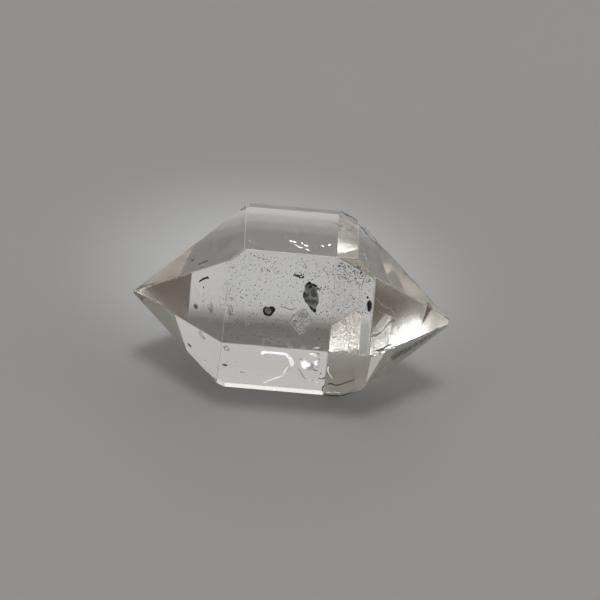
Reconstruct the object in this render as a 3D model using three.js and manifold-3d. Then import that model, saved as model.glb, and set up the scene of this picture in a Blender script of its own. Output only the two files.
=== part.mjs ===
// Herkimer diamond: one clear quartz crystal, a short six-sided prism with a six-faced point at each
// end, lying on one prism face. Millimetres, +Z up. The crystal's c axis runs along X, its left point
// at -X, and the origin is on the surface it rests on, under the middle of the crystal.

import * as THREE from 'three';
import { mergeVertices } from 'three/addons/utils/BufferGeometryUtils.js';
import Module from 'manifold-3d';

// ---- Driving dimensions -------------------------------------------------------------------------

// Angle in degrees between the c axis and the normal of a rhomb face. It is the same on every quartz.
const RHOMB_TILT = 51.79;

// The six ways that faces look, in degrees about the c axis, from the back (+Y) over the top (+Z).
const WAYS = { upperBack: 30, top: 90, upperFront: 150, lowerFront: 210, bottom: 270, lowerBack: 330 };

// Distances in millimetres from the crystal's centre, square to each face: a nearer face is a larger one.
const PRISM = { upperBack: 5.57, top: 5.75, upperFront: 5.57, lowerFront: 5.61, bottom: 6.05, lowerBack: 5.61 };
const LEFT_POINT = {
  upperBack: 6.53, top: 6.87, upperFront: 7.34, lowerFront: 7.39, bottom: 7.37, lowerBack: 7.39,
};
const RIGHT_POINT = {
  upperBack: 6.25, top: 7.12, upperFront: 7.77, lowerFront: 7.94, bottom: 7.3, lowerBack: 6.29,
};

// The right point is worn blunt by a small facet square to the c axis, at this distance from the centre.
const RIGHT_TIP_REACH = 11.25;

// The c axis lies this high, because the bottom prism face rests on the ground.
const AXIS_HEIGHT = PRISM.bottom;

// Chips along the edges: long shallow scoops, each with the edge's two faces, its place along X, its
// length along the edge, and how deep it bites into the edge.
const CHIPS = [
  { faces: ['right lowerFront', 'right upperFront'], x: 5.95, length: 0.55, depth: 0.1 },
  { faces: ['right lowerFront', 'right upperFront'], x: 6.55, length: 0.8, depth: 0.14 },
  { faces: ['right lowerFront', 'right upperFront'], x: 7.3, length: 0.6, depth: 0.07 },
  { faces: ['prism lowerFront', 'prism upperFront'], x: 4.3, length: 0.6, depth: 0.06 },
  { faces: ['prism lowerFront', 'prism upperFront'], x: 5.05, length: 0.9, depth: 0.1 },
  { faces: ['right lowerFront', 'right bottom'], x: 6.2, length: 2.1, depth: 0.36 },
  { faces: ['right lowerFront', 'right bottom'], x: 7.3, length: 1.2, depth: 0.42 },
  { faces: ['right lowerFront', 'right bottom'], x: 8.2, length: 0.7, depth: 0.1 },
  { faces: ['left lowerFront', 'left bottom'], x: -5.3, length: 0.9, depth: 0.12 },
  { faces: ['left top', 'left upperFront'], x: -8.3, length: 1.1, depth: 0.05 },
  { faces: ['left top', 'left upperFront'], x: -10.2, length: 0.8, depth: 0.06 },
  { faces: ['right top', 'right upperBack'], x: 6.0, length: 1.5, depth: 0.07 },
  { faces: ['right top', 'right upperBack'], x: 8.0, length: 1.1, depth: 0.05 },
  { faces: ['right top', 'right upperBack'], x: 10.2, length: 0.7, depth: 0.06 },
];

// Radius of a scoop across its edge, as a share of the chip's length.
const SCOOP_RADIUS = 0.45;

// Looks of clear, very slightly smoky quartz.
const QUARTZ_COLOUR = 0xdedad2;
const QUARTZ_ROUGHNESS = 0.03;

// ---- Values worked out from them ----------------------------------------------------------------

const X_AXIS = new THREE.Vector3(1, 0, 0);
const Z_AXIS = new THREE.Vector3(0, 0, 1);
const BLOCK = 4 * RIGHT_TIP_REACH;
const SCOOP_DETAIL = 2;

// The direction square to the c axis that a face of this way looks.
function radial(way) {
  const turn = THREE.MathUtils.degToRad(WAYS[way]);
  return new THREE.Vector3(0, Math.cos(turn), Math.sin(turn));
}

// A face plane as its outward normal and its distance from the crystal's centre.
function prismFace(way) {
  return { normal: radial(way), distance: PRISM[way] };
}

// A point's face leans back from the prism towards the c axis; side is -1 on the left, 1 on the right.
function rhombFace(way, side, distances) {
  const tilt = THREE.MathUtils.degToRad(RHOMB_TILT);
  const normal = radial(way).multiplyScalar(Math.sin(tilt));
  normal.addScaledVector(X_AXIS, side * Math.cos(tilt));
  return { normal, distance: distances[way] };
}

// Every face plane by name, such as 'right top'.
function allFaces() {
  const faces = { 'right tip': { normal: X_AXIS, distance: RIGHT_TIP_REACH } };
  for (const way of Object.keys(WAYS)) {
    faces[`prism ${way}`] = prismFace(way);
    faces[`left ${way}`] = rhombFace(way, -1, LEFT_POINT);
    faces[`right ${way}`] = rhombFace(way, 1, RIGHT_POINT);
  }
  return faces;
}

// The point at x on the line where two face planes meet.
function edgePoint(a, b, x) {
  const planeA = a.distance - a.normal.x * x;
  const planeB = b.distance - b.normal.x * x;
  const det = a.normal.y * b.normal.z - a.normal.z * b.normal.y;
  const y = (planeA * b.normal.z - planeB * a.normal.z) / det;
  const z = (a.normal.y * planeB - b.normal.y * planeA) / det;
  return new THREE.Vector3(x, y, z);
}

// ---- Solids -------------------------------------------------------------------------------------

const wasm = await Module();
wasm.setup();

// A three.js geometry as a solid: only positions are kept, and shared corners are merged.
function solidFrom(geometry) {
  geometry.deleteAttribute('normal');
  geometry.deleteAttribute('uv');
  const merged = mergeVertices(geometry, 1e-5);
  return new wasm.Manifold(new wasm.Mesh({
    numProp: 3,
    vertProperties: new Float32Array(merged.attributes.position.array),
    triVerts: new Uint32Array(merged.index.array),
  }));
}

// The block of space outside one face plane.
function outside(face) {
  const block = new THREE.BoxGeometry(BLOCK, BLOCK, BLOCK);
  block.translate(0, 0, BLOCK / 2);
  block.applyQuaternion(new THREE.Quaternion().setFromUnitVectors(Z_AXIS, face.normal));
  block.translate(...face.normal.clone().multiplyScalar(face.distance).toArray());
  return solidFrom(block);
}

// The scoop that one chip takes out of an edge: a stretched ball that breaks the edge over the chip's
// length and sinks to its depth.
function scoop(chip, faces) {
  const [a, b] = chip.faces.map((name) => faces[name]);
  const outward = a.normal.clone().add(b.normal).normalize();
  const along = a.normal.clone().cross(b.normal).normalize();
  const across = outward.clone().cross(along);
  const radius = SCOOP_RADIUS * chip.length;
  const lift = radius - chip.depth;
  const halfLength = chip.length / 2 / Math.sqrt(1 - (lift / radius) ** 2);
  const ball = new THREE.IcosahedronGeometry(1, SCOOP_DETAIL);
  ball.rotateX(chip.x);
  ball.scale(halfLength, radius, radius);
  ball.applyMatrix4(new THREE.Matrix4().makeBasis(along, across, outward));
  ball.translate(...edgePoint(a, b, chip.x).addScaledVector(outward, lift).toArray());
  return solidFrom(ball);
}

// The crystal: a block cut down by every face plane, then chipped along its edges.
function crystalSolid() {
  const faces = allFaces();
  let crystal = solidFrom(new THREE.BoxGeometry(BLOCK, BLOCK, BLOCK));
  for (const face of Object.values(faces)) {
    crystal = crystal.subtract(outside(face));
  }
  for (const chip of CHIPS) {
    crystal = crystal.subtract(scoop(chip, faces));
  }
  return crystal;
}

// ---- Scene graph --------------------------------------------------------------------------------

function quartzMaterial() {
  return new THREE.MeshStandardMaterial({
    color: QUARTZ_COLOUR,
    roughness: QUARTZ_ROUGHNESS,
    metalness: 0,
    flatShading: true,
  });
}

function crystalMesh() {
  const { vertProperties, triVerts } = crystalSolid().getMesh();
  const geometry = new THREE.BufferGeometry();
  geometry.setAttribute('position', new THREE.BufferAttribute(new Float32Array(vertProperties), 3));
  geometry.setIndex(new THREE.BufferAttribute(new Uint32Array(triVerts), 1));
  geometry.computeVertexNormals();
  const mesh = new THREE.Mesh(geometry, quartzMaterial());
  mesh.name = 'quartz_crystal';
  mesh.position.z = AXIS_HEIGHT;
  return mesh;
}

const herkimerDiamond = new THREE.Group();
herkimerDiamond.name = 'herkimer_diamond';
herkimerDiamond.add(crystalMesh());

export default herkimerDiamond;
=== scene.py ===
"""The looks of a herkimer diamond: a clear quartz crystal on a pale floor, in metres."""

import math
import random

import bmesh
import bpy
from mathutils import Matrix, Vector, noise


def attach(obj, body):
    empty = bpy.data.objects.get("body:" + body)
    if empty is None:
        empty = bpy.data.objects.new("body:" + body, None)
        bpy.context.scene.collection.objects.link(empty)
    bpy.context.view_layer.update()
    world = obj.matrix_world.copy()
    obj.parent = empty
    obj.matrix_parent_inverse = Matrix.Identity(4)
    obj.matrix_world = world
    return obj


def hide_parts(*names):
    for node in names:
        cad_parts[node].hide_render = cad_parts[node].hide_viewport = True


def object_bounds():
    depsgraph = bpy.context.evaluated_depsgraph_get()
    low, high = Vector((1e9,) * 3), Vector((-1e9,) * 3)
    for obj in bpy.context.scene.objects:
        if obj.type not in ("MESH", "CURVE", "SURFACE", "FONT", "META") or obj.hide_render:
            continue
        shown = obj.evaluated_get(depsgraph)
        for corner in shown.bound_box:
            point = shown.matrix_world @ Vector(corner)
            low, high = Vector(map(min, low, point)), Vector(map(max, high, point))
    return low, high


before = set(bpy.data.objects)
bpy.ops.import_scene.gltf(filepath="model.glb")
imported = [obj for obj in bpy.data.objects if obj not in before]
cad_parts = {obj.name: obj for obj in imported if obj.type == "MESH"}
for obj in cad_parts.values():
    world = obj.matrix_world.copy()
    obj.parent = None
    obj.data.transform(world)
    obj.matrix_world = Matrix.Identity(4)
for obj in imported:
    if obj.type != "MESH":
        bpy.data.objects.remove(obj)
cad_low, cad_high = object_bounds()

MM = 0.001

# ---- View ----------------------------------------------------------------------------------------
VIEW_AZIMUTH = math.radians(-2.63)
VIEW_ELEVATION = math.radians(32.64)
VIEW_ROLL = math.radians(6.38)
VIEW_DISTANCE = 300 * MM
VIEW_CENTRE = Vector((0.614, 0.110, 5.904)) * MM
SENSOR = 36
PIXELS_PER_MM = 14.0
IMAGE_SIDE = 600
LENS = SENSOR * PIXELS_PER_MM * (VIEW_DISTANCE / MM) / IMAGE_SIDE


def view_axes():
    """Back, right and up of the camera, with its roll."""
    a, e = VIEW_AZIMUTH, VIEW_ELEVATION
    back = Vector((math.sin(a) * math.cos(e), -math.cos(a) * math.cos(e), math.sin(e)))
    level = Vector((0, 0, 1)).cross(back).normalized()
    upright = back.cross(level)
    right = math.cos(VIEW_ROLL) * level + math.sin(VIEW_ROLL) * upright
    return back, right, back.cross(right)


def make_camera():
    back, right, up = view_axes()
    data = bpy.data.cameras.new("camera")
    data.lens = LENS
    data.sensor_width = SENSOR
    data.clip_start = 0.01
    data.clip_end = 20
    camera = bpy.data.objects.new("camera", data)
    turn = Matrix((right, up, back)).transposed().to_4x4()
    camera.matrix_world = Matrix.Translation(VIEW_CENTRE + back * VIEW_DISTANCE) @ turn
    bpy.context.scene.collection.objects.link(camera)
    bpy.context.scene.camera = camera


# ---- Faces ---------------------------------------------------------------------------------------
# Each crystal face has a frame of its own, in millimetres: along runs as nearly as it can with +X,
# across is square to it in the face, and depth goes into the crystal. Its zero is the foot of the
# line from the middle of the crystal.
RHOMB_TILT = math.radians(51.79)
WAYS = {"upper_back": 30, "top": 90, "upper_front": 150, "lower_front": 210, "bottom": 270, "lower_back": 330}
LEFT, PRISM, RIGHT = -1, 0, 1
MIDDLE_BELOW_TOP = 5.745 * MM
MIDDLE = (Vector(cad_low) + Vector(cad_high)) / 2
MIDDLE.z = cad_high[2] - MIDDLE_BELOW_TOP


def crystal_corners():
    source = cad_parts["quartz_crystal"]
    return [source.matrix_world @ corner.co for corner in source.data.vertices]


CORNERS = crystal_corners()


class Face:
    """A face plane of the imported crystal, found from the way it looks and the crystal's corners."""

    def __init__(self, way, side):
        turn = math.radians(WAYS[way])
        self.normal = Vector((0, math.cos(turn), math.sin(turn)))
        if side != PRISM:
            self.normal *= math.sin(RHOMB_TILT)
            self.normal.x = side * math.cos(RHOMB_TILT)
        self.reach = max(corner.dot(self.normal) for corner in CORNERS)
        self.foot = MIDDLE + self.normal * (self.reach - MIDDLE.dot(self.normal))
        x_axis = Vector((1, 0, 0))
        self.along = (x_axis - self.normal * self.normal.x).normalized()
        self.across = self.normal.cross(self.along)

    def at(self, along, across, depth):
        """A place in metres from its coordinates in the face's frame in millimetres."""
        return self.foot + (along * self.along + across * self.across - depth * self.normal) * MM


FACES = {(way, side): Face(way, side) for way in WAYS for side in (LEFT, PRISM, RIGHT)}
TOP = FACES["top", PRISM]
UPPER_FRONT = FACES["upper_front", PRISM]
LOWER_FRONT = FACES["lower_front", PRISM]
LOWER_BACK = FACES["lower_back", PRISM]
LEFT_TOP = FACES["top", LEFT]
LEFT_UPPER_FRONT = FACES["upper_front", LEFT]
LEFT_LOWER_FRONT = FACES["lower_front", LEFT]
LEFT_LOWER_BACK = FACES["lower_back", LEFT]
RIGHT_TOP = FACES["top", RIGHT]
RIGHT_UPPER_FRONT = FACES["upper_front", RIGHT]
RIGHT_LOWER_FRONT = FACES["lower_front", RIGHT]
RIGHT_LOWER_BACK = FACES["lower_back", RIGHT]
QUARTZ_IOR = 1.545
LEAST_DEPTH = 0.25 * MM         # of the cracks that lean against their face


def ray_through(face):
    """The way that the view's middle ray runs inside the crystal, when it enters by this face."""
    back, _, _ = view_axes()
    cosine = back.dot(face.normal)
    bent = math.sqrt(1 - (1 - cosine ** 2) / QUARTZ_IOR ** 2)
    return face.normal * (cosine / QUARTZ_IOR - bent) - back / QUARTZ_IOR


def edge_spot(first, second, x):
    """The place in metres on the edge between two faces, at x in millimetres."""
    one = first.reach - first.normal.x * x * MM
    two = second.reach - second.normal.x * x * MM
    det = first.normal.y * second.normal.z - first.normal.z * second.normal.y
    y = (one * second.normal.z - two * first.normal.z) / det
    z = (first.normal.y * two - second.normal.y * one) / det
    return Vector((x * MM, y, z))


# ---- Materials -----------------------------------------------------------------------------------
def new_material(name):
    """A node material with its Principled shader, and the node tree."""
    material = bpy.data.materials.new(name)
    material.use_nodes = True
    return material, material.node_tree, material.node_tree.nodes["Principled BSDF"]


def object_noise(tree, per_mm, detail):
    """Noise fixed to the object, with the given number of features to the millimetre."""
    place = tree.nodes.new("ShaderNodeTexCoord")
    texture = tree.nodes.new("ShaderNodeTexNoise")
    texture.inputs["Scale"].default_value = per_mm / MM
    texture.inputs["Detail"].default_value = detail
    tree.links.new(place.outputs["Object"], texture.inputs["Vector"])
    return texture.outputs["Fac"]


def add_bump(tree, shader, height, relief):
    """Bumps from a height between 0 and 1, relief millimetres deep."""
    bump = tree.nodes.new("ShaderNodeBump")
    bump.inputs["Strength"].default_value = 1.0
    bump.inputs["Distance"].default_value = relief * MM
    tree.links.new(height, bump.inputs["Height"])
    tree.links.new(bump.outputs["Normal"], shader.inputs["Normal"])


def colour_between(tree, shader, factor, low, dark, high, light):
    """A base colour that goes from dark to light as factor goes from low to high."""
    ramp = tree.nodes.new("ShaderNodeValToRGB")
    ramp.color_ramp.elements[0].position = low
    ramp.color_ramp.elements[0].color = (*dark, 1)
    ramp.color_ramp.elements[1].position = high
    ramp.color_ramp.elements[1].color = (*light, 1)
    tree.links.new(factor, ramp.inputs["Fac"])
    tree.links.new(ramp.outputs["Color"], shader.inputs["Base Color"])


def calculate(tree, operation, *values):
    """A Math node's result, from sockets and plain numbers."""
    node = tree.nodes.new("ShaderNodeMath")
    node.operation = operation
    for socket, value in zip(node.inputs, values):
        if isinstance(value, (int, float)):
            socket.default_value = value
        else:
            tree.links.new(value, socket)
    return node.outputs["Value"]


def face_value(tree, name):
    """A value that make_crystal stores on every face."""
    node = tree.nodes.new("ShaderNodeAttribute")
    node.attribute_name = name
    return node.outputs["Fac"]


def set_glass(shader):
    shader.inputs["Base Color"].default_value = (1, 1, 1, 1)
    shader.inputs["IOR"].default_value = QUARTZ_IOR
    shader.inputs["Transmission Weight"].default_value = 1.0


def mosaic(tree, per_mm, slope, scatter):
    """Height in millimetres of a mosaic of small flat facets that all lean nearly the same way."""
    place = tree.nodes.new("ShaderNodeTexCoord")
    cells = tree.nodes.new("ShaderNodeTexVoronoi")
    cells.inputs["Scale"].default_value = per_mm / MM
    tree.links.new(place.outputs["Object"], cells.inputs["Vector"])
    offset = tree.nodes.new("ShaderNodeVectorMath")
    offset.operation = "SUBTRACT"
    tree.links.new(place.outputs["Object"], offset.inputs[0])
    tree.links.new(cells.outputs["Position"], offset.inputs[1])
    lean = tree.nodes.new("ShaderNodeVectorMath")
    lean.operation = "MULTIPLY_ADD"
    lean.inputs[1].default_value = Vector((1, 1, 1)) * scatter / MM
    lean.inputs[2].default_value = (slope - Vector((1, 1, 1)) * scatter / 2) / MM
    tree.links.new(cells.outputs["Color"], lean.inputs[0])
    fall = tree.nodes.new("ShaderNodeVectorMath")
    fall.operation = "DOT_PRODUCT"
    tree.links.new(offset.outputs["Vector"], fall.inputs[0])
    tree.links.new(lean.outputs["Vector"], fall.inputs[1])
    return fall.outputs["Value"]


def quartz():
    """Clear quartz with a trace of smoke, whose finish follows the values stored on its faces."""
    material, tree, shader = new_material("clear_quartz")
    set_glass(shader)
    tree.links.new(face_value(tree, "finish_roughness"), shader.inputs["Roughness"])
    milk = face_value(tree, "finish_milk")
    tree.links.new(calculate(tree, "SUBTRACT", 1, milk), shader.inputs["Transmission Weight"])
    ripple = calculate(tree, "MULTIPLY", object_noise(tree, RIPPLE_PER_MM, 3), RIPPLE_RELIEF)
    grain = object_noise(tree, GRAIN_PER_MM, 3)
    height = calculate(tree, "MULTIPLY_ADD", grain, face_value(tree, "finish_grain"), ripple)
    facets = mosaic(tree, MOSAIC_PER_MM, mosaic_slope(), MOSAIC_SCATTER)
    height = calculate(tree, "MULTIPLY_ADD", facets, face_value(tree, "finish_facets"), height)
    add_bump(tree, shader, height, 1)
    smoke = tree.nodes.new("ShaderNodeVolumeAbsorption")
    smoke.inputs["Color"].default_value = (0.985, 0.97, 0.935, 1)
    smoke.inputs["Density"].default_value = 40
    tree.links.new(smoke.outputs["Volume"], tree.nodes["Material Output"].inputs["Volume"])
    return material


def hollow_wall():
    """The rough wall of a hole in the quartz."""
    material, tree, shader = new_material("hollow_wall")
    set_glass(shader)
    shader.inputs["Roughness"].default_value = 0.1
    add_bump(tree, shader, object_noise(tree, 6, 3), 0.012)
    return material


def silver():
    """A crack seen from inside the quartz: the film of air in it shines like silver."""
    material, tree, shader = new_material("silvery_crack")
    mottle = object_noise(tree, 7, 3)
    colour_between(tree, shader, mottle, 0.35, (0.70, 0.76, 0.86), 0.6, (0.95, 0.96, 0.98))
    shader.inputs["Metallic"].default_value = 1.0
    shader.inputs["Roughness"].default_value = 0.28
    add_bump(tree, shader, mottle, 0.006)
    return material


def opaque(name, dark, light, per_mm, roughness, relief):
    """An opaque mineral, mottled between two colours."""
    material, tree, shader = new_material(name)
    mottle = object_noise(tree, per_mm, 4)
    colour_between(tree, shader, mottle, 0.38, dark, 0.62, light)
    shader.inputs["Roughness"].default_value = roughness
    add_bump(tree, shader, mottle, relief)
    return material


def floor_material():
    material, tree, shader = new_material("pale_floor")
    mottle = object_noise(tree, 0.02, 2)
    colour_between(tree, shader, mottle, 0.3, (0.450, 0.462, 0.474), 0.7, (0.462, 0.475, 0.489))
    shader.inputs["Roughness"].default_value = 0.9
    shader.inputs["Specular IOR Level"].default_value = 0.1
    return material


# ---- Shapes --------------------------------------------------------------------------------------
def new_piece(name, mesh, material):
    """A scene object from a bmesh that rides the crystal's node."""
    data = bpy.data.meshes.new(name)
    mesh.to_mesh(data)
    mesh.free()
    piece = bpy.data.objects.new(name, data)
    bpy.context.scene.collection.objects.link(piece)
    data.materials.append(material)
    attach(piece, "root")
    return piece


SKIN = 0.02 * MM                # the least quartz over an inclusion
INWARD_MOVES = 4                # how often a place is moved in before it lies under every face


def place_inside(spot, room):
    """The place, moved under every crystal face by the room in metres that the shape needs that way."""
    for _ in range(INWARD_MOVES):
        for face in FACES.values():
            over = spot.dot(face.normal) + room(face.normal) + SKIN - face.reach
            if over > 0:
                spot = spot - face.normal * over
    return spot


def add_lump(mesh, centre, axes, rough, seed, detail=2):
    """A ball stretched to three half-axes, in metres, its skin uneven by a share rough."""

    def room(outward):
        return (1 + rough) * math.sqrt(sum(axis.dot(outward) ** 2 for axis in axes))

    centre = place_inside(centre, room)
    ball = bmesh.ops.create_icosphere(mesh, subdivisions=detail, radius=1)
    shift = Vector((seed * 7.1, seed * 3.7, seed * 1.9))
    for vert in ball["verts"]:
        swell = 1 + rough * noise.noise(vert.co * 1.6 + shift)
        spot = vert.co * swell
        vert.co = centre + spot.x * axes[0] + spot.y * axes[1] + spot.z * axes[2]


def smooth_path(points, steps):
    """Points along a Catmull-Rom curve through the given points."""
    padded = [2 * points[0] - points[1], *points, 2 * points[-1] - points[-2]]
    path = []
    for i in range(len(points) - 1):
        a, b, c, d = padded[i:i + 4]
        for k in range(steps):
            t = k / steps
            path.append(0.5 * (2 * b + (c - a) * t + (2 * a - 5 * b + 4 * c - d) * t ** 2
                               + (3 * b - a - 3 * c + d) * t ** 3))
    return [*path, points[-1]]


def add_ribbon(mesh, points, width, thickness, facing, seed, steps=5):
    """A thin flat ribbon along a curve, its broad side facing one way; sizes in metres."""
    path = smooth_path(points, steps)
    rings = []
    for i, spot in enumerate(path):
        way = (path[min(i + 1, len(path) - 1)] - path[max(i - 1, 0)]).normalized()
        side = way.cross(facing).normalized()
        lift = side.cross(way)
        share = i / (len(path) - 1)
        taper = math.sqrt(max(0.02, 1 - (2 * share - 1) ** 6))
        taper *= 1 + 0.45 * noise.noise(Vector((share * len(points) * 2.3, seed * 3.3, 0)))
        tilt = 0.12 * noise.noise(Vector((share * len(points) * 3.1, seed * 5.7, 9)))
        half = (side + lift * tilt) * width / 2 * taper
        rise = lift * thickness / 2
        spot = place_inside(spot, lambda outward: abs(half.dot(outward)) + abs(rise.dot(outward)))
        corners = (half + rise, -half + rise, -half - rise, half - rise)
        rings.append([mesh.verts.new(spot + corner) for corner in corners])
    for a, b in zip(rings, rings[1:]):
        for k in range(4):
            mesh.faces.new((a[k], a[(k + 1) % 4], b[(k + 1) % 4], b[k]))
    mesh.faces.new(list(reversed(rings[0])))
    mesh.faces.new(rings[-1])


def add_lens(mesh, outline, thickness, wave, per_mm, seed, rings=8, corner_steps=1):
    """A closed lens inside an outline of points, with wavy skins; sizes in metres."""
    edge = outline
    if corner_steps > 1:
        edge = smooth_path([*outline, outline[0]], corner_steps)[:-1]
    count = len(edge)
    middle = sum(edge, Vector()) / count
    normal = sum(((edge[i] - middle).cross(edge[(i + 1) % count] - middle) for i in range(count)), Vector())
    normal.normalize()
    lift_most = thickness / 2 + wave
    edge = [place_inside(spot, lambda outward: lift_most * abs(normal.dot(outward))) for spot in edge]
    middle = sum(edge, Vector()) / count
    rim = [mesh.verts.new(spot) for spot in edge]
    for skin in (1, -1):
        previous = rim
        for ring in range(rings - 1, 0, -1):
            share = ring / rings
            lift = thickness / 2 * math.sqrt(1 - share ** 2)
            row = []
            for spot in edge:
                place = middle + (spot - middle) * share
                ripple = wave * noise.noise(place * per_mm / MM + Vector((seed, seed * skin, 0)))
                row.append(mesh.verts.new(place + normal * (skin * lift + ripple * (1 - share ** 4))))
            for k in range(count):
                quad = (previous[k], previous[(k + 1) % count], row[(k + 1) % count], row[k])
                mesh.faces.new(quad if skin > 0 else tuple(reversed(quad)))
            previous = row
        centre = mesh.verts.new(middle + normal * skin * thickness / 2)
        for k in range(count):
            wedge = (previous[k], previous[(k + 1) % count], centre)
            mesh.faces.new(wedge if skin > 0 else tuple(reversed(wedge)))


def settle(face, places, facing):
    """Slides places along the view's ray onto a plane that faces one way and lies wholly under the face."""
    slide = ray_through(face)
    middle = sum(places, Vector()) / len(places)
    flat = [spot - slide * ((spot - middle).dot(facing) / slide.dot(facing)) for spot in places]
    shallowest = min(face.reach - spot.dot(face.normal) for spot in flat)
    push = max(0, LEAST_DEPTH - shallowest) / -slide.dot(face.normal)
    return [spot + slide * push for spot in flat]


def hollow(mesh):
    """Turns closed shapes into the walls of cavities: their faces look into the hole."""
    bmesh.ops.recalc_face_normals(mesh, faces=mesh.faces)
    bmesh.ops.reverse_faces(mesh, faces=mesh.faces)
    return mesh


# ---- Crystal -------------------------------------------------------------------------------------
WEAR = 0.05                     # width in millimetres of the worn strip along each edge
WEAR_LEAST_EDGE = 1.0           # edges shorter than this, in millimetres, stay as the CAD has them
WEAR_LEAST_TURN = math.radians(15)
FLAT_TURN = math.radians(0.3)   # facets that turn less than this are one face
FACE_SLACK = math.radians(2)    # a facet that leans more than this from every crystal face is a chip's
SAME_SPOT = 1e-7                # corners nearer to each other, or to a cut, than this in metres are one
RIPPLE_PER_MM = 1.2
RIPPLE_RELIEF = 0.0004
GRAIN_PER_MM = 8
# Finishes of the faces: roughness, relief of the fine grain in millimetres, how far the tiny facets
# stand out, and milkiness.
FINISHES = {
    "clear": (0.0, 0.0, 0.0, 0.0),
    "etched": (0.15, 0.006, 0.0, 0.0),
    "frosted": (0.18, 0.003, 1.0, 0.0),
    "worn": (0.35, 0.004, 0.0, 0.35),
    "chipped": (0.12, 0.02, 0.0, 0.0),
}
FINISH_NAMES = list(FINISHES)
LAYER_NAMES = ("finish_roughness", "finish_grain", "finish_facets", "finish_milk")
ETCHED_FACES = (RIGHT_LOWER_BACK, LEFT_LOWER_BACK)
# The frosted spot at the foot of the right point's lower back face, in world millimetres: left of
# the first line, below the second, and below the third, each as x share, z share and limit.
FROST_LIMITS = [(1.0, 0.039, 5.212), (0.0, 1.0, 3.36), (-1.26, 1.0, -2.24)]
MOSAIC_PER_MM = 15
MOSAIC_SCATTER = 0.15
# The way that the tiny facets of the frosted spot look.
MOSAIC_NORMAL = Vector((0.81, 0.54, -0.22))


def mosaic_slope():
    """The slope of the tiny facets' bumps against their face, as they are seen from inside the quartz."""
    normal = RIGHT_LOWER_BACK.normal
    facet = MOSAIC_NORMAL.normalized()
    return (facet - normal * facet.dot(normal)) / facet.dot(normal)


def lies_on(face, plane):
    close = abs(face.calc_center_median().dot(plane.normal) - plane.reach) < 0.01 * MM
    return close and face.normal.dot(plane.normal) > 0.999


def cut_frost_outline(mesh):
    """Cuts the lower back face of the right point along the frosted spot's outline."""
    for x_share, z_share, limit in FROST_LIMITS:
        faces = [face for face in mesh.faces if lies_on(face, RIGHT_LOWER_BACK)]
        edges = {edge for face in faces for edge in face.edges}
        verts = {vert for face in faces for vert in face.verts}
        across = Vector((x_share, 0, z_share))
        spot = across * limit * MM / across.length_squared
        geometry = [*verts, *edges, *faces]
        bmesh.ops.bisect_plane(mesh, geom=geometry, plane_co=spot, plane_no=across, dist=SAME_SPOT)


def in_frost(face):
    middle = face.calc_center_median() / MM
    return all(x * middle.x + z * middle.z < limit for x, z, limit in FROST_LIMITS)


def finish_of(face):
    """Which finish a face of the bare crystal has."""
    if lies_on(face, RIGHT_LOWER_BACK) and in_frost(face):
        return "frosted"
    if any(lies_on(face, plane) for plane in ETCHED_FACES):
        return "etched"
    looks_along = max(face.normal.dot(plane.normal) for plane in FACES.values())
    if max(looks_along, face.normal.x) < math.cos(FACE_SLACK):
        return "chipped"
    return "clear"


def worn_planes(mesh):
    """The planes that take the sharpness off the long edges: a place on each plane and the way it looks."""
    planes = {}
    for edge in mesh.edges:
        turn = edge.calc_face_angle(0)
        chipped = any(FINISH_NAMES[face.material_index] == "chipped" for face in edge.link_faces)
        if chipped or turn < WEAR_LEAST_TURN or edge.calc_length() < WEAR_LEAST_EDGE * MM:
            continue
        outward = sum((face.normal for face in edge.link_faces), Vector()).normalized()
        depth = WEAR * MM / 2 * math.tan(turn / 2)
        planes[tuple(round(part, 3) for part in outward)] = (edge.verts[0].co - outward * depth, outward)
    return [planes[key] for key in sorted(planes)]


def wear_edges(mesh):
    """Cuts a narrow worn strip along every long edge."""
    for spot, outward in worn_planes(mesh):
        geometry = [*mesh.verts, *mesh.edges, *mesh.faces]
        cut = bmesh.ops.bisect_plane(mesh, geom=geometry, plane_co=spot, plane_no=outward, dist=SAME_SPOT,
                                     clear_outer=True)
        rim = [part for part in cut["geom_cut"] if isinstance(part, bmesh.types.BMEdge)]
        for face in bmesh.ops.holes_fill(mesh, edges=rim)["faces"]:
            face.material_index = FINISH_NAMES.index("worn")
    bmesh.ops.recalc_face_normals(mesh, faces=mesh.faces)


def store_finishes(mesh):
    """Writes each face's finish, held so far as its material index, to the layers that the shader reads."""
    layers = [mesh.faces.layers.float.new(name) for name in LAYER_NAMES]
    for face in mesh.faces:
        for layer, value in zip(layers, FINISHES[FINISH_NAMES[face.material_index]]):
            face[layer] = value
        face.material_index = 0


def make_crystal():
    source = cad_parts["quartz_crystal"]
    mesh = bmesh.new()
    corners = [mesh.verts.new(place) for place in CORNERS]
    for polygon in source.data.polygons:
        mesh.faces.new([corners[index] for index in polygon.vertices])
    bmesh.ops.remove_doubles(mesh, verts=mesh.verts, dist=SAME_SPOT)
    bmesh.ops.dissolve_limit(mesh, angle_limit=FLAT_TURN, verts=mesh.verts, edges=mesh.edges)
    cut_frost_outline(mesh)
    for face in mesh.faces:
        face.material_index = FINISH_NAMES.index(finish_of(face))
    wear_edges(mesh)
    store_finishes(mesh)
    crystal = new_piece("quartz_crystal_clear", mesh, quartz())
    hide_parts("quartz_crystal")


# ---- Inclusions ----------------------------------------------------------------------------------
def lump_axes(face, length, width, depth, turn=0.0):
    """Half-axes in metres of a lump of these millimetre sizes, turned in the face's plane."""
    cos, sin = math.cos(turn), math.sin(turn)
    first = face.along * cos + face.across * sin
    second = face.across * cos - face.along * sin
    return first * length * MM / 2, second * width * MM / 2, face.normal * depth * MM / 2


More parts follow.
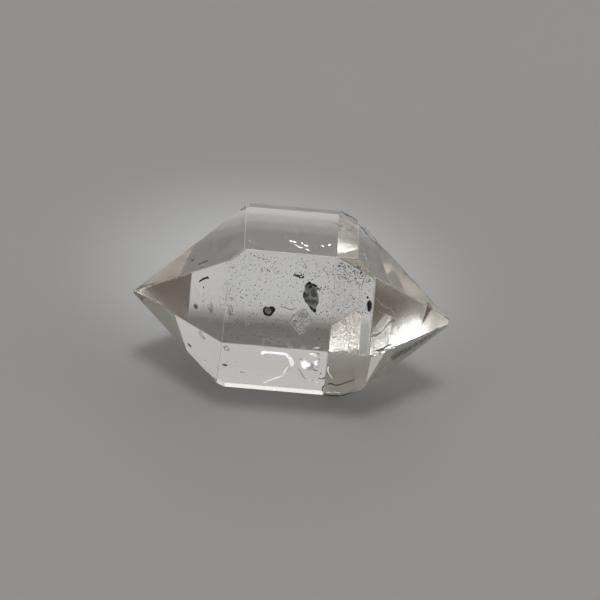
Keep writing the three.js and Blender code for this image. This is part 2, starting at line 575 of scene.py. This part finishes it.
FLAKE_OUTLINE = [
    (0.63, 1.26), (0.92, 1.46), (1.43, 1.36), (1.62, 1.13), (1.54, 0.91), (1.70, 0.51), (1.72, 0.08),
    (1.57, -0.28), (1.60, -0.56), (1.31, -0.52), (1.08, -0.25), (0.73, 0.14), (0.59, 0.48), (0.66, 0.91),
]
FLAKE_DEPTH = 0.5
# The dark grey film behind the chipped lower edge of the right point.
FLANK_OUTLINE = [
    (2.93, 0.82), (3.62, 0.96), (4.70, 0.65), (6.01, 0.66), (7.20, 0.70), (7.10, 0.28), (6.12, -0.05),
    (4.99, -0.15), (3.93, -0.15), (3.32, -0.05),
]
FLANK_DEPTH = 0.08
RING_CENTRE = (-1.75, -0.78)
RING_RADIUS = 0.30
RING_DEPTH = 0.4
RING_KNOT = (-1.42, -0.62)      # the thick end of the ring


def make_flake():
    """The grey mineral flake, the grey middle of the ring beside it, and the film in the right point."""
    mesh = bmesh.new()
    outline = [UPPER_FRONT.at(x, y, FLAKE_DEPTH) for x, y in FLAKE_OUTLINE]
    add_lens(mesh, outline, 0.12 * MM, 0.03 * MM, 3.0, 1)
    flank = [RIGHT_LOWER_FRONT.at(x, y, FLANK_DEPTH) for x, y in FLANK_OUTLINE]
    flank = settle(RIGHT_LOWER_FRONT, flank, RIGHT_LOWER_FRONT.normal)
    add_lens(mesh, flank, 0.03 * MM, 0.01 * MM, 3.0, 2)
    x, y = RING_CENTRE
    filling = UPPER_FRONT.at(x, y, RING_DEPTH + 0.05)
    add_lump(mesh, filling, lump_axes(UPPER_FRONT, 0.62, 0.56, 0.06), 0.25, 11)
    material = opaque("grey_mica", (0.2, 0.22, 0.23), (0.74, 0.8, 0.8), 3.5, 0.35, 0.01)
    new_piece("grey_flake", mesh, material)


CARBON_LUMPS = [
    # along, across, depth, length, width, turn in degrees: beside and on the flake
    (0.95, 1.40, 0.42, 0.42, 0.20, 20), (1.33, 1.30, 0.42, 0.34, 0.16, -30),
    (1.05, 1.18, 0.40, 0.26, 0.20, 60), (1.50, -0.48, 0.42, 0.30, 0.22, 80),
    (1.22, -0.30, 0.42, 0.34, 0.12, -50), (0.64, 0.62, 0.42, 0.50, 0.09, 85),
    (1.62, 1.08, 0.42, 0.16, 0.12, 0),
    # the small dark group above it
    (-0.14, 1.90, 0.3, 0.20, 0.12, 20), (0.10, 1.84, 0.3, 0.34, 0.16, -15), (0.30, 1.92, 0.3, 0.20, 0.10, 35),
    (0.46, 1.80, 0.3, 0.22, 0.14, 50), (0.26, 1.74, 0.3, 0.14, 0.10, 0),
    # single specks
    (2.98, 2.81, 0.3, 0.14, 0.12, 0), (4.50, 2.45, 0.3, 0.18, 0.12, 40), (0.84, 1.62, 0.3, 0.08, 0.07, 0),
    (1.12, 1.68, 0.3, 0.10, 0.07, 30), (1.79, 1.20, 0.3, 0.09, 0.08, 0), (2.02, 1.06, 0.3, 0.08, 0.12, 0),
    (2.10, 1.24, 0.3, 0.07, 0.10, 0), (1.90, 0.86, 0.3, 0.10, 0.06, 60), (1.62, -0.70, 0.3, 0.12, 0.07, 50),
    (1.82, -0.72, 0.3, 0.10, 0.08, 0), (1.96, -0.56, 0.3, 0.08, 0.12, 30),
]


def make_carbon():
    """Black carbon: the crust on the flake, the group above it, and the open ring at its left."""
    mesh = bmesh.new()
    for i, (x, y, depth, length, width, turn) in enumerate(CARBON_LUMPS):
        axes = lump_axes(UPPER_FRONT, length, width, min(length, width), math.radians(turn))
        add_lump(mesh, UPPER_FRONT.at(x, y, depth), axes, 0.8, i)
    for degrees in range(-215, 80, 33):
        turn = math.radians(degrees)
        x = RING_CENTRE[0] + RING_RADIUS * math.cos(turn)
        y = RING_CENTRE[1] + RING_RADIUS * math.sin(turn)
        axes = lump_axes(UPPER_FRONT, 0.3, 0.15, 0.12, turn + math.pi / 2)
        add_lump(mesh, UPPER_FRONT.at(x, y, RING_DEPTH), axes, 0.7, degrees)
    knot_axes = lump_axes(UPPER_FRONT, 0.26, 0.36, 0.15, 0.5)
    add_lump(mesh, UPPER_FRONT.at(*RING_KNOT, RING_DEPTH), knot_axes, 0.6, 51)
    material = opaque("black_carbon", (0.008, 0.008, 0.009), (0.05, 0.05, 0.048), 8, 0.5, 0.01)
    new_piece("black_carbon", mesh, material)


# The stroke and its dot, in world millimetres, and the grain in the upper front face's frame.
COMMA = [
    (-5.74, 0.02, 6.81), (-5.66, -0.10, 7.03), (-5.44, -0.20, 7.27), (-5.22, -0.30, 7.45),
    (-5.14, -0.30, 7.33),
]
COMMA_DOT = (-5.35, -0.25, 6.56)
BLACK_SPOT = (5.28, 0.22, 0.22)


def make_black_strokes():
    """A curved black stroke deep in the left end, its dot, and the black grain at the right."""
    mesh = bmesh.new()
    stroke = [Vector(spot) * MM for spot in COMMA]
    add_ribbon(mesh, stroke, 0.13 * MM, 0.08 * MM, LEFT_UPPER_FRONT.normal, 2)
    add_lump(mesh, Vector(COMMA_DOT) * MM, lump_axes(LEFT_UPPER_FRONT, 0.10, 0.16, 0.1), 0.5, 3)
    add_lump(mesh, UPPER_FRONT.at(*BLACK_SPOT), lump_axes(UPPER_FRONT, 0.36, 0.86, 0.2, 0.12), 0.45, 4)
    x, y, depth = BLACK_SPOT
    add_lump(mesh, UPPER_FRONT.at(x - 0.16, y + 0.55, depth), lump_axes(UPPER_FRONT, 0.16, 0.2, 0.12), 0.5, 6)
    material = opaque("jet_carbon", (0.003, 0.003, 0.003), (0.02, 0.02, 0.02), 6, 0.4, 0.01)
    new_piece("black_strokes", mesh, material)


SPECK_SEED = 5
SPECK_DEPTHS = (0.12, 0.8)
SPECK_GRADES = (0.6, 0.8, 1.0, 1.0, 1.5, 2.0)
SPECK_MARGIN = 0.08 * MM        # from every face to the middle of a speck
# Fields of fine specks: face, along from-to, across from-to, how many, size.
SPECK_FIELDS = [
    (UPPER_FRONT, (-4.8, 5.2), (1.9, 3.1), 420, 0.034),
    (UPPER_FRONT, (-4.6, 2.4), (-1.2, 2.2), 620, 0.029),
    (UPPER_FRONT, (2.2, 5.6), (-1.0, 2.6), 480, 0.032),
    (UPPER_FRONT, (2.9, 5.4), (1.6, 2.9), 170, 0.042),
    (UPPER_FRONT, (-4.6, 2.6), (-3.0, -1.2), 320, 0.026),
    (UPPER_FRONT, (2.2, 3.9), (-3.0, -0.6), 110, 0.026),
    (LEFT_UPPER_FRONT, (-1.0, 1.4), (-1.2, 1.8), 150, 0.034),
    (LOWER_FRONT, (-4.8, 4.6), (-2.6, 2.6), 50, 0.028),
    (LEFT_LOWER_FRONT, (-1.2, 1.6), (-1.6, 1.6), 24, 0.035),
    (RIGHT_UPPER_FRONT, (1.0, 5.0), (-2.4, 1.6), 240, 0.032),
    (TOP, (2.0, 5.4), (-1.0, 2.0), 90, 0.036),
    (RIGHT_TOP, (-0.6, 5.0), (-1.6, 2.0), 110, 0.034),
]
# The line of larger specks that curves from the top of the upper front face to its right corner.
SPECK_CURVE = [(2.70, 3.05), (2.99, 2.77), (3.50, 2.93), (4.10, 2.62), (4.53, 2.36), (4.72, 1.98)]
CURVE_SPECKS = 13               # on each of its stretches
CURVE_SPREAD = 0.13
CURVE_DEPTHS = (0.12, 0.4)
CURVE_SIZES = (0.03, 0.08)
CURVE_MARGIN = 0.05 * MM


def inside_crystal(spot, margin):
    """Whether a place lies inside every face by a margin in metres."""
    return all(spot.dot(face.normal) < face.reach - margin for face in FACES.values())


def add_speck(mesh, spot, size, dice):
    """A small uneven grain, turned at random."""
    angle = dice.uniform(0, math.tau)
    pivot = Vector((dice.random(), dice.random(), dice.random()))
    turn = Matrix.Rotation(angle, 3, pivot)
    axes = []
    for axis in ((1, 0, 0), (0, 1, 0), (0, 0, 1)):
        axes.append(turn @ Vector(axis) * size * MM * dice.uniform(0.35, 0.8))
    add_lump(mesh, spot, axes, 0.6, dice.uniform(0, 50), detail=1)


def make_specks():
    """Many tiny specks of carbon just under the faces."""
    dice = random.Random(SPECK_SEED)
    mesh = bmesh.new()
    for face, along, across, count, size in SPECK_FIELDS:
        for _ in range(count):
            spot = face.at(dice.uniform(*along), dice.uniform(*across), dice.uniform(*SPECK_DEPTHS))
            grain = size * dice.choice(SPECK_GRADES)
            if inside_crystal(spot, SPECK_MARGIN):
                add_speck(mesh, spot, grain, dice)
    for a, b in zip(SPECK_CURVE, SPECK_CURVE[1:]):
        for _ in range(CURVE_SPECKS):
            t = dice.random()
            x = a[0] + (b[0] - a[0]) * t + dice.gauss(0, CURVE_SPREAD)
            y = a[1] + (b[1] - a[1]) * t + dice.gauss(0, CURVE_SPREAD)
            spot = UPPER_FRONT.at(x, y, dice.uniform(*CURVE_DEPTHS))
            if inside_crystal(spot, CURVE_MARGIN):
                add_speck(mesh, spot, dice.uniform(*CURVE_SIZES), dice)
    material = opaque("speck_carbon", (0.012, 0.012, 0.012), (0.06, 0.055, 0.05), 10, 0.6, 0.005)
    new_piece("carbon_specks", mesh, material)


# Growth marks and fine dark lines just under the faces, with painted shade along the chipped bottom edge of
# the lower front face: face, depth, width and places.
DARK_LINES = [
    (TOP, 0.06, 0.07, [(2.54, 1.44), (2.82, 1.21), (3.15, 1.04)]),
    (TOP, 0.06, 0.06, [(3.61, 1.21), (3.89, 1.05)]),
    (TOP, 0.06, 0.06, [(3.40, 0.66), (3.80, 0.48)]),
    (TOP, 0.05, 0.08, [(2.95, 3.11), (3.60, 2.81), (4.10, 2.22)]),
    (TOP, 0.05, 0.06, [(3.17, 2.65), (3.60, 2.50), (4.14, 1.98)]),
    (RIGHT_TOP, 0.05, 0.07, [(-0.18, 2.31), (0.71, 1.96), (1.70, 1.59), (2.69, 1.21), (3.69, 0.84),
                             (4.68, 0.47), (5.87, -0.09)]),
    (RIGHT_TOP, 0.05, 0.06, [(-0.38, 1.68), (0.51, 1.20), (1.50, 0.83), (2.39, 0.61)]),
    (RIGHT_TOP, 0.05, 0.06, [(-0.28, 1.52), (0.22, 1.47), (0.71, 1.29)]),
    (LEFT_TOP, 0.05, 0.05, [(-8.42, -0.38), (-7.59, 0.11), (-6.50, 0.66), (-5.41, 1.21), (-4.31, 1.61)]),
    (RIGHT_UPPER_FRONT, 0.25, 0.12, [(1.53, -2.95), (1.98, -2.87), (2.43, -2.71), (2.78, -2.52),
                                     (3.16, -2.45)]),
    # Painted shade: dark lines along the chipped bottom edge, standing in for the shaded outline of the chip.
    (LOWER_FRONT, 0.06, 0.13, [(2.79, -3.60), (3.23, -3.72), (3.73, -3.66), (4.23, -3.52), (4.64, -3.3),
                               (5.05, -2.97)]),
    (LOWER_FRONT, 0.08, 0.13, [(3.02, -2.12), (3.29, -1.82), (3.66, -2.07), (4.00, -1.76)]),
    (LOWER_FRONT, 0.08, 0.09, [(2.83, -3.30), (2.74, -2.67), (2.87, -2.1)]),
    (RIGHT_TOP, 0.06, 0.07, [(-0.17, 0.84), (0.02, 0.86), (0.17, 0.91)]),
    (RIGHT_TOP, 0.06, 0.08, [(0.42, 1.03), (0.62, 1.18)]),
    (RIGHT_TOP, 0.06, 0.06, [(-0.08, 1.25), (0.15, 1.40), (0.42, 1.70)]),
    (RIGHT_TOP, 0.12, 0.05, [(1.61, 1.42), (1.85, 1.36), (2.05, 1.24), (2.02, 0.85), (1.90, 0.60)]),
    (RIGHT_TOP, 0.06, 0.05, [(1.45, 1.00), (1.60, 0.68), (1.86, 0.50)]),
    (RIGHT_TOP, 0.05, 0.07, [(4.27, -0.31), (4.39, 0.09), (4.51, 0.48)]),
    (RIGHT_TOP, 0.05, 0.05, [(4.40, 0.10), (4.62, 0.01)]),
    (LOWER_FRONT, 0.08, 0.10, [(3.67, -2.15), (4.00, -1.84), (4.39, -1.36), (4.72, -1.05), (4.92, -0.85)]),
    (LOWER_FRONT, 0.20, 0.10, [(1.84, 0.16), (2.00, -0.05), (2.20, 0.02)]),
    (LOWER_FRONT, 0.20, 0.12, [(2.30, -1.20), (2.60, -1.31), (2.85, -0.93)]),
    (LOWER_FRONT, 0.20, 0.10, [(2.40, -0.54), (2.46, -0.40)]),
]
LINE_THICKNESS = 0.03
# Brown stains: face, depth, width and places of the lines, then face, depth and outline of the plates.
STAIN_LINES = [
    (UPPER_FRONT, 0.3, 0.05, [(-1.03, -0.40), (-0.60, -0.43), (-0.17, -0.54), (0.24, -0.39)]),
]
STAIN_PLATES = [
    (RIGHT_UPPER_FRONT, 0.06, [(6.40, 1.00), (6.72, 0.72), (6.60, 0.28), (6.14, -0.31), (5.56, -1.19),
                               (5.88, -0.32), (6.10, 0.40), (6.24, 0.69)]),
]
SMUDGE = Vector((-4.27, 4.22, 2.13))      # in world millimetres


def add_face_line(mesh, face, depth, width, places, seed):
    """A ribbon that lies flat under a face, through places in the face's frame."""
    path = [face.at(x, y, depth) for x, y in places]
    add_ribbon(mesh, path, width * MM, LINE_THICKNESS * MM, face.normal, seed)


def make_dark_lines():
    mesh = bmesh.new()
    for i, (face, depth, width, places) in enumerate(DARK_LINES):
        add_face_line(mesh, face, depth, width, places, 110 + i)
    material = opaque("dark_growth_and_shade_line", (0.012, 0.011, 0.01), (0.07, 0.06, 0.055), 9, 0.6, 0.005)
    new_piece("growth_and_shade_lines", mesh, material)


def make_stains():
    mesh = bmesh.new()
    for i, (face, depth, width, places) in enumerate(STAIN_LINES):
        add_face_line(mesh, face, depth, width, places, 130 + i)
    for i, (face, depth, outline) in enumerate(STAIN_PLATES):
        add_lens(mesh, [face.at(x, y, depth) for x, y in outline], 0.03 * MM, 0.01 * MM, 3.0, 140 + i)
    add_lump(mesh, SMUDGE * MM, lump_axes(LOWER_BACK, 0.42, 0.30, 0.08, 0.6), 0.5, 150)
    material = opaque("iron_stain", (0.34, 0.28, 0.23), (0.62, 0.54, 0.46), 5, 0.6, 0.01)
    new_piece("brown_stains", mesh, material)


# ---- Cracks and hollows --------------------------------------------------------------------------
GRAIN_OUTLINE = [(0.20, -0.68), (0.67, -0.43), (1.04, -0.61), (1.28, -0.94), (1.32, -1.43), (1.02, -2.02),
                 (0.62, -2.27), (0.24, -1.95), (-0.12, -1.42), (-0.06, -0.99)]
GRAIN_DEPTH = 0.5
# Its middle, its long half-axis and its other half-axes' length, in world millimetres.
OVAL_HOLLOW = (Vector((-4.34, 0.0, 4.76)), Vector((0.12, -0.28, -0.33)), 0.23)
# Small bubbles: face, along, across, depth, length, width, turn in degrees.
BUBBLES = [
    (TOP, -0.22, -1.85, 0.3, 0.40, 0.20, -35), (TOP, 0.26, -1.66, 0.3, 0.20, 0.24, 10),
    (TOP, 1.60, -1.66, 0.3, 0.26, 0.14, -20), (TOP, -3.40, -1.80, 0.3, 0.22, 0.18, 0),
    (TOP, -3.15, -2.0, 0.3, 0.14, 0.14, 0), (RIGHT_TOP, 0.30, -1.60, 0.3, 0.30, 0.24, 40),
    (RIGHT_TOP, 0.50, -1.95, 0.3, 0.26, 0.30, 0), (RIGHT_TOP, 0.66, -2.25, 0.3, 0.18, 0.22, 0),
    (LOWER_FRONT, -4.26, 0.09, 0.2, 0.14, 0.14, 0), (LOWER_FRONT, -3.63, 0.22, 0.2, 0.14, 0.14, 0),
    (UPPER_FRONT, -4.38, -0.15, 0.3, 0.10, 0.32, 0), (UPPER_FRONT, -3.70, 0.0, 0.3, 0.26, 0.08, -35),
]


def make_hollows():
    """Hollows in the quartz: the rough grain, the oval bubble and small bubbles."""
    mesh = bmesh.new()
    outline = [UPPER_FRONT.at(x, y, GRAIN_DEPTH) for x, y in GRAIN_OUTLINE]
    add_lens(mesh, outline, 0.5 * MM, 0.16 * MM, 4.5, 3, rings=14, corner_steps=5)
    middle, half, radius = OVAL_HOLLOW
    side = half.cross(UPPER_FRONT.normal).normalized() * radius * MM
    third = side.cross(half).normalized() * radius * MM
    add_lump(mesh, middle * MM, (half * MM, side, third), 0.2, 7, detail=3)
    for i, (face, x, y, depth, length, width, turn) in enumerate(BUBBLES):
        axes = lump_axes(face, length, width, 0.12, math.radians(turn))
        add_lump(mesh, face.at(x, y, depth), axes, 0.4, 30 + i)
    new_piece("hollows", hollow(mesh), hollow_wall())


# The ways that silvery cracks look.
HOOK_FACING = Vector((0.04, -0.86, 0.51)).normalized()
SEAM_FACING = Vector((0.0, -0.64, -0.77)).normalized()
STREAK_FACING = Vector((-0.02, -0.34, 0.94)).normalized()
RIM_FACING = Vector((0.83, -0.22, -0.51)).normalized()
THIN_RIM_FACING = Vector((0.99, 0.07, 0.14)).normalized()
# Silvery ribbons: face, depth, width, the way they look, whether they lie in one plane, and places.
SILVER_RIBBONS = [
    (LOWER_FRONT, 0.45, 0.34, HOOK_FACING, True, [(-1.88, 1.50), (-1.80, 1.92), (-1.34, 1.96), (-0.77, 1.95),
                                                  (-0.30, 1.95), (0.03, 1.55), (0.26, 0.80), (0.34, 0.1)]),
    (LOWER_FRONT, 0.3, 0.08, HOOK_FACING, True, [(0.26, 0.12), (0.1, -0.33), (-0.13, -1.1), (-0.34, -1.71)]),
    (LOWER_FRONT, 0.3, 0.06, HOOK_FACING, True, [(0.10, 0.16), (-0.04, -0.33), (-0.26, -0.98)]),
    (LOWER_FRONT, 0.3, 0.08, HOOK_FACING, True, [(-0.38, -1.64), (-0.71, -1.95), (-1.18, -2.45),
                                                 (-1.63, -3.19)]),
    (LOWER_FRONT, 0.3, 0.06, HOOK_FACING, True, [(-0.31, -1.45), (-0.64, -1.78), (-1.03, -2.31)]),
    (LOWER_FRONT, 0.4, 0.11, HOOK_FACING, True, [(0.84, -0.1), (0.96, -0.48), (1.15, -1.09), (1.4, -1.61),
                                                 (1.63, -1.8), (1.98, -1.73)]),
    (LOWER_FRONT, 0.4, 0.16, HOOK_FACING, True, [(1.9, -1.76), (2.1, -1.9), (2.3, -2.08), (2.5, -1.96)]),
    (LOWER_FRONT, 0.2, 0.07, HOOK_FACING, True, [(2.89, 0.84), (2.92, 0.05), (3.11, -0.56), (3.37, -1.16)]),
    (LOWER_FRONT, 0.1, 0.10, HOOK_FACING, True, [(3.05, -3.34), (3.61, -3.23), (4.04, -3.19)]),
    (RIGHT_LOWER_FRONT, 0.06, 0.11, SEAM_FACING, False, [(1.96, -0.67), (2.38, -0.49), (2.81, -0.39)]),
    (RIGHT_UPPER_FRONT, 0.15, 0.10, THIN_RIM_FACING, False, [(1.31, 0.71), (2.02, 0.25), (2.70, 0.06),
                                                             (3.03, -0.28), (3.22, -0.70)]),
    (RIGHT_UPPER_FRONT, 0.1, 0.40, RIM_FACING, False, [(3.24, -0.7), (2.7, -0.89), (2.36, -1.19),
                                                       (2.12, -1.52), (1.68, -1.78), (1.04, -1.94)]),
    (RIGHT_UPPER_FRONT, 0.15, 0.05, RIM_FACING, False, [(1.50, -0.13), (2.09, -0.32), (2.50, -0.59)]),
    (TOP, 0.2, 0.13, STREAK_FACING, True, [(-0.65, -1.35), (-0.41, -1.44), (-0.17, -1.50)]),
    (TOP, 0.2, 0.12, STREAK_FACING, True, [(0.23, -1.47), (0.30, -1.75)]),
    (TOP, 0.2, 0.14, STREAK_FACING, True, [(0.38, -1.77), (0.68, -1.88)]),
    (TOP, 0.2, 0.11, STREAK_FACING, True, [(-0.22, -1.81), (0.03, -2.10), (0.31, -2.18)]),
    (TOP, 0.2, 0.09, STREAK_FACING, True, [(0.52, -2.28), (0.74, -2.44)]),
    (TOP, 0.2, 0.10, STREAK_FACING, True, [(1.60, -1.60), (1.79, -1.78)]),
    (TOP, 0.2, 0.12, STREAK_FACING, True, [(2.12, -1.55), (2.25, -1.37)]),
    (RIGHT_TOP, 0.2, 0.08, STREAK_FACING, True, [(0.27, -1.56), (0.47, -1.87), (0.66, -2.12)]),
]
# Silvery plates: face, depth, the way they look and outline.
SILVER_PLATES = [
    (LOWER_FRONT, 0.45, HOOK_FACING, [(0.75, 1.37), (1.01, 1.50), (1.20, 1.07), (1.45, 0.80), (1.78, 0.75),
                                      (2.0, 1.30), (2.19, 1.75), (2.29, 0.79), (2.13, 0.12), (1.79, -0.11),
                                      (1.31, -0.34), (0.97, 0.29)]),
    (LOWER_FRONT, 0.4, HOOK_FACING, [(1.39, 2.32), (1.72, 2.63), (2.11, 2.62), (2.14, 2.25), (1.84, 2.04),
                                     (1.62, 2.15)]),
]
# Silvery crumbs: face, along, across, depth, length, width, turn in degrees.
SILVER_CRUMBS = [
    (UPPER_FRONT, 0.78, -0.46, 0.3, 0.36, 0.14, -8), (UPPER_FRONT, 1.74, 1.02, 0.4, 0.12, 0.30, -20),
    (UPPER_FRONT, 4.56, -0.30, 0.3, 0.16, 0.12, 10), (UPPER_FRONT, 4.75, -0.42, 0.3, 0.14, 0.10, 0),
    (UPPER_FRONT, 4.30, -0.11, 0.3, 0.12, 0.08, 0), (UPPER_FRONT, 4.35, 2.85, 0.2, 0.20, 0.26, 0),
    (UPPER_FRONT, 4.44, 2.66, 0.2, 0.12, 0.16, 0), (RIGHT_UPPER_FRONT, 3.60, -1.20, 0.2, 0.10, 0.10, 0),
    (RIGHT_TOP, 0.81, -2.81, 0.2, 0.12, 0.10, 0), (TOP, -0.91, -0.92, 0.2, 0.10, 0.10, 0),
    (TOP, 1.19, -2.04, 0.2, 0.14, 0.08, 50),
]
SPARKLE = Vector((-2.97, 3.66, 1.39))     # in world millimetres
SPARKLE_GRAINS = 5
SILVER_THICKNESS = 0.02


def make_silver():
    """The silvery cracks: ribbons, plates, crumbs, and a sparkle of grains deep at the back."""
    mesh = bmesh.new()
    for i, (face, depth, width, facing, flat, places) in enumerate(SILVER_RIBBONS):
        path = [face.at(x, y, depth) for x, y in places]
        if flat:
            path = settle(face, path, facing)
        add_ribbon(mesh, path, width * MM, SILVER_THICKNESS * MM, facing, 40 + i)
    for i, (face, depth, facing, outline) in enumerate(SILVER_PLATES):
        path = settle(face, [face.at(x, y, depth) for x, y in outline], facing)
        add_lens(mesh, path, 0.04 * MM, 0.03 * MM, 3.0, 70 + i)
    for i, (face, x, y, depth, length, width, turn) in enumerate(SILVER_CRUMBS):
        axes = lump_axes(face, length, width, min(length, width), math.radians(turn))
        add_lump(mesh, face.at(x, y, depth), axes, 0.6, 80 + i)
    for i in range(SPARKLE_GRAINS):
        offset = Vector((0.12 * math.cos(2.1 * i), 0.03 * i, 0.12 * math.sin(2.1 * i)))
        axes = lump_axes(LOWER_BACK, 0.20, 0.10, 0.1, i)
        add_lump(mesh, (SPARKLE + offset) * MM, axes, 0.6, 20 + i, detail=1)
    new_piece("silvery_cracks", mesh, silver())


# Milky quartz frayed along edges: the two faces, from and to x in millimetres, how many grains, size.
FRAYS = [
    (LEFT_TOP, LEFT_UPPER_FRONT, -11.1, -7.6, 90, 0.045),
]
# Milky grains scattered along a path under a face: face, depth, half width, how many, size and places.
GRAIN_ROWS = [
    (LEFT_TOP, 0.06, 0.10, 70, 0.05, [(-4.91, -2.14), (-4.69, -1.4), (-4.38, -0.74), (-4.07, -0.07),
                                      (-3.68, 0.8)]),
    (LEFT_TOP, 0.10, 0.16, 40, 0.045, [(-8.24, -0.9), (-7.9, -1.0), (-7.4, -0.75)]),
    (LEFT_UPPER_FRONT, 0.15, 0.7, 150, 0.04, [(-3.2, -0.6), (-1.6, -0.3), (0.0, 0.0)]),
    (UPPER_FRONT, 0.25, 0.05, 16, 0.05, [(4.31, -0.25), (4.5, -0.02), (4.84, 0.18)]),
    (LOWER_FRONT, 0.08, 0.08, 16, 0.06, [(3.05, -3.34), (3.61, -3.23), (4.04, -3.19)]),
]
FRAY_SEED = 9
GRAIN_MARGIN = 0.04 * MM
FRAY_LEAST_DEPTH = 0.03         # in millimetres, which clears the chips in the ridge


def make_frays():
    """Crumbs of milky quartz: along a worn edge, and scattered along paths under the faces."""
    dice = random.Random(FRAY_SEED)
    mesh = bmesh.new()
    for first, second, start, stop, count, size in FRAYS:
        inward = -(first.normal + second.normal).normalized()
        for _ in range(count):
            spot = edge_spot(first, second, dice.uniform(start, stop))
            spot += inward * MM * (FRAY_LEAST_DEPTH + size * dice.uniform(0.9, 1.6))
            add_speck(mesh, spot, size, dice)
    for face, depth, half, count, size, places in GRAIN_ROWS:
        for _ in range(count):
            a = dice.randrange(len(places) - 1)
            start, stop = Vector(places[a]), Vector(places[a + 1])
            x, y = start.lerp(stop, dice.random())
            spot = face.at(x + dice.uniform(-half, half), y + dice.uniform(-half, half), depth)
            if inside_crystal(spot, GRAIN_MARGIN):
                add_speck(mesh, spot, size * dice.uniform(0.6, 1.3), dice)
    material = opaque("milky_quartz", (0.8, 0.78, 0.77), (0.97, 0.96, 0.95), 8, 0.4, 0.01)
    new_piece("frayed_edges", mesh, material)


# ---- Stage ---------------------------------------------------------------------------------------
LIGHT_BOUNCES = 24
FLOOR_HALF_SIDE = 3.0           # in metres
FLOOR_DROP = 0.02 * MM          # the thin film of air under the resting face
TENT_BASE = (0.14, 0.12, 0.10)
# Cards of the light tent: azimuth (0 is the camera's side, 90 is +X) and elevation in degrees, the
# angles from there at which the card starts and stops fading, and its brightness. A dark card takes
# light away.
CARDS = [
    (-10, 80, 6.5, 10, (9.6, 9.7, 9.8)),
    (0, 90, 24, 62, (0.25, 0.24, 0.22)),
    (178, 37, 8, 20, (0.5, 0.5, 0.46)),
    (172, 6, 22, 66, (0.42, 0.415, 0.425)),
    (-2, 27, 10, 24, (-0.055, -0.05, -0.045)),
    (92, 28, 10, 24, (0.6, 0.57, 0.5)),
    (-70, 54, 12, 28, (0.26, 0.24, 0.22)),
    (-75, 6, 22, 50, (0.03, 0.03, 0.03)),
    (28, 40, 10, 30, (0.12, 0.1, 0.09)),
]
# Three narrow lamps in a row, overhead, that light the same spot of floor: where they aim, where each
# one hangs along Y, and their height, all in millimetres.
POOL_AIM = Vector((-1.0, 12.0, 0.0))
POOL_ROW = (-37.0, -8.0, 22.0)
POOL_HEIGHT = 250.0
POOL_CONE = math.radians(4.6)
POOL_RADIUS = 10 * MM
POOL_POWER = 0.84


def direction(azimuth, elevation):
    """The unit vector towards a place given in degrees, azimuth 0 on the camera's side."""
    a, e = math.radians(azimuth), math.radians(elevation)
    return Vector((math.sin(a) * math.cos(e), -math.cos(a) * math.cos(e), math.sin(e)))


def make_floor():
    data = bpy.data.meshes.new("floor")
    side = FLOOR_HALF_SIDE
    corners = [(-side, -side), (side, -side), (side, side), (-side, side)]
    data.from_pydata([(x, y, -FLOOR_DROP) for x, y in corners], [], [(0, 1, 2, 3)])
    data.materials.append(floor_material())
    floor = bpy.data.objects.new("floor", data)
    bpy.context.scene.collection.objects.link(floor)


def make_world():
    """A light tent with soft cards all round the crystal."""
    world = bpy.data.worlds.new("light_tent")
    bpy.context.scene.world = world
    world.use_nodes = True
    tree = world.node_tree
    link = tree.links.new
    place = tree.nodes.new("ShaderNodeTexCoord")
    total = tree.nodes.new("ShaderNodeRGB")
    total.outputs[0].default_value = (*TENT_BASE, 1)
    sum_so_far = total.outputs[0]
    for azimuth, elevation, start, stop, brightness in CARDS:
        dot = tree.nodes.new("ShaderNodeVectorMath")
        dot.operation = "DOT_PRODUCT"
        dot.inputs[1].default_value = direction(azimuth, elevation)
        link(place.outputs["Generated"], dot.inputs[0])
        fade = tree.nodes.new("ShaderNodeMapRange")
        fade.interpolation_type = "SMOOTHSTEP"
        fade.inputs["From Min"].default_value = math.cos(math.radians(stop))
        fade.inputs["From Max"].default_value = math.cos(math.radians(start))
        link(dot.outputs["Value"], fade.inputs["Value"])
        card = tree.nodes.new("ShaderNodeVectorMath")
        card.operation = "MULTIPLY_ADD"
        card.inputs[0].default_value = brightness
        link(fade.outputs[0], card.inputs[1])
        link(sum_so_far, card.inputs[2])
        sum_so_far = card.outputs[0]
    link(sum_so_far, tree.nodes["Background"].inputs["Color"])


def make_pool():
    """Narrow soft lamps overhead that light the floor behind the crystal."""
    for number, y in enumerate(POOL_ROW, 1):
        data = bpy.data.lights.new(f"pool_{number}", "SPOT")
        data.energy = POOL_POWER
        data.spot_size = POOL_CONE
        data.spot_blend = 1.0
        data.shadow_soft_size = POOL_RADIUS
        pool = bpy.data.objects.new(f"pool_{number}", data)
        place = Vector((POOL_AIM.x, y, POOL_HEIGHT))
        pool.location = place * MM
        pool.rotation_euler = (POOL_AIM - place).to_track_quat("-Z", "Y").to_euler()
        pool.visible_glossy = False
        pool.visible_transmission = False
        bpy.context.scene.collection.objects.link(pool)


def set_light_paths():
    """Long light paths and no view tone curve: light turns many times inside a clear crystal."""
    scene = bpy.context.scene
    scene.cycles.max_bounces = LIGHT_BOUNCES
    scene.cycles.transmission_bounces = LIGHT_BOUNCES
    scene.cycles.glossy_bounces = LIGHT_BOUNCES
    scene.view_settings.view_transform = "Standard"


make_camera()
set_light_paths()
make_world()
make_floor()
make_pool()
make_crystal()
make_flake()
make_carbon()
make_black_strokes()
make_specks()
make_dark_lines()
make_stains()
make_hollows()
make_silver()
make_frays()
